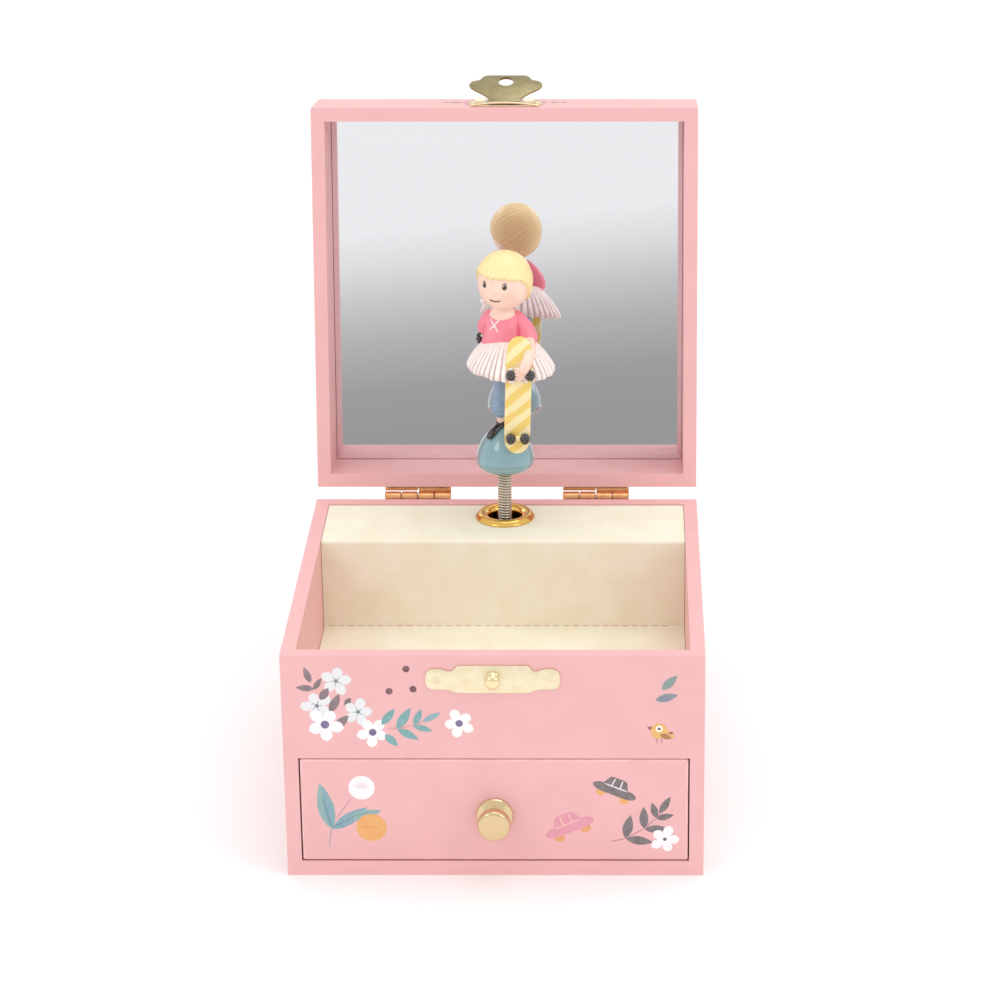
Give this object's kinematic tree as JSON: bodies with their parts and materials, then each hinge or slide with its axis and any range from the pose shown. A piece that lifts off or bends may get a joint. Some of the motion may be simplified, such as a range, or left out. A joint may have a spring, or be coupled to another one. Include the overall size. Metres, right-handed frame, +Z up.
{
  "type": "ballerina jewellery box",
  "caption": "Wind-up musical jewellery box: papered case with lined tray and drawer, mirror lid on hinges with a hasp, and a girl figure with a skateboard that turns on a spring.",
  "frame": {"origin": "centre of the case's footprint, on the surface that the box stands on", "axes": "+X to the right, +Y to the back, where the hinges are, +Z up; the lid is open at rest"},
  "size_m": [0.115, 0.1716, 0.1874],
  "materials": {
    "board": "bare fibreboard",
    "drawer_wood": "plain thin board",
    "pink_paper": "satin printed paper glued over board",
    "cream_card": "matt folded card",
    "brass": "polished pale brass plate",
    "copper_brass": "bright reddish brass",
    "steel": "bright steel",
    "zinc": "die-cast zinc",
    "mirror": "silvered float glass",
    "nylon": "moulded nylon",
    "teal_resin": "gloss painted resin",
    "doll_resin": "hand-painted resin",
    "yellow_resin": "painted resin",
    "black_resin": "painted resin"
  },
  "bodies": {
    "case": {"base_panel": "board", "left_side_panel": "board", "right_side_panel": "board", "back_panel": "board", "front_panel": "board", "front_rail": "board", "case_wrap": "pink_paper", "divider_panel": "board", "partition_panel": "board", "ledge_panel": "board", "liner_card": "cream_card", "grommet": "brass", "hinge_case_leaves": "copper_brass", "hinge_pins": "steel", "hinge_case_nails": "copper_brass", "catch_plate": "brass", "catch_stud": "brass", "catch_nails": "brass", "bedplate": "zinc", "bearing_brackets": "zinc", "movement_screws": "steel", "comb": "steel", "comb_screws": "steel", "brake_spring": "steel"},
    "lid": {"lid_top_panel": "board", "lid_front_wall": "board", "lid_back_wall": "board", "lid_left_wall": "board", "lid_right_wall": "board", "lid_wrap": "pink_paper", "mirror_glass": "mirror", "hinge_lid_leaves": "copper_brass", "hinge_lid_nails": "copper_brass", "hasp_plate": "brass", "hasp_pin": "steel", "hasp_nails": "brass"},
    "hasp": {"hasp_flap": "brass"},
    "drawer": {"drawer_front": "pink_paper", "drawer_left_side": "drawer_wood", "drawer_right_side": "drawer_wood", "drawer_back": "drawer_wood", "drawer_bottom": "drawer_wood", "drawer_knob": "brass", "knob_screw": "steel"},
    "barrel": {"spring_barrel": "brass", "mainspring": "steel"},
    "key": {"winding_arbor": "steel", "winding_key": "brass"},
    "cylinder": {"music_cylinder": "brass", "cylinder_arbor": "steel", "cylinder_pinion": "brass", "cylinder_wheel": "brass"},
    "fly": {"governor_fly": "nylon"},
    "spindle": {"spindle": "steel", "spindle_pinion": "brass"},
    "spring": {"figure_spring": "steel"},
    "figure": {"figure_dome": "teal_resin", "figure_doll": "doll_resin", "skateboard": "yellow_resin", "skateboard_wheels": "black_resin"}
  },
  "joints": [
    {"name": "lid_hinge", "type": "hinge", "parent": "case", "child": "lid", "pos_m": [0, 0.06066, 0.06576], "axis": [1, 0, 0], "range_deg": [0, 98.8]},
    {"name": "hasp_hinge", "type": "hinge", "parent": "lid", "child": "hasp", "pos_m": [0, 0.08476, 0.18291], "axis": [1, 0, 0], "range_deg": [0, 153]},
    {"name": "drawer_slide", "type": "slide", "parent": "case", "child": "drawer", "axis": [0, -1, 0], "range_m": [0, 0.065]},
    {"name": "barrel_spin", "type": "hinge", "parent": "case", "child": "barrel", "pos_m": [0, 0.04, 0.034], "axis": [0, 1, 0], "continuous": true},
    {"name": "key_wind", "type": "hinge", "parent": "case", "child": "key", "pos_m": [0, 0.06, 0.034], "axis": [0, 1, 0], "continuous": true},
    {"name": "cylinder_spin", "type": "hinge", "parent": "case", "child": "cylinder", "pos_m": [0.029, 0.04145, 0.034], "axis": [1, 0, 0], "continuous": true},
    {"name": "fly_spin", "type": "hinge", "parent": "case", "child": "fly", "pos_m": [0.046, 0.04145, 0.04412], "axis": [1, 0, 0], "continuous": true},
    {"name": "spindle_spin", "type": "hinge", "parent": "case", "child": "spindle", "pos_m": [0, 0.044, 0.055], "axis": [0, 0, 1], "continuous": true},
    {"name": "spring_bend", "type": "hinge", "parent": "case", "child": "spring", "pos_m": [0, 0.0389, 0.0767], "axis": [1, 0, 0], "range_deg": [0, 105], "deforming": ["figure_spring"]},
    {"name": "figure_spin", "type": "hinge", "parent": "spring", "child": "figure", "pos_m": [0, 0.044, 0.09], "axis": [0, 0, 1], "continuous": true}
  ],
  "couplings": [
    {"joint": "spring_bend", "follows": "lid_hinge", "ratio": 1.0623},
    {"joint": "spindle_spin", "follows": "barrel_spin", "ratio": -4},
    {"joint": "figure_spin", "follows": "barrel_spin", "ratio": -4},
    {"joint": "cylinder_spin", "follows": "barrel_spin", "ratio": -2.4},
    {"joint": "fly_spin", "follows": "barrel_spin", "ratio": 9.6}
  ]
}
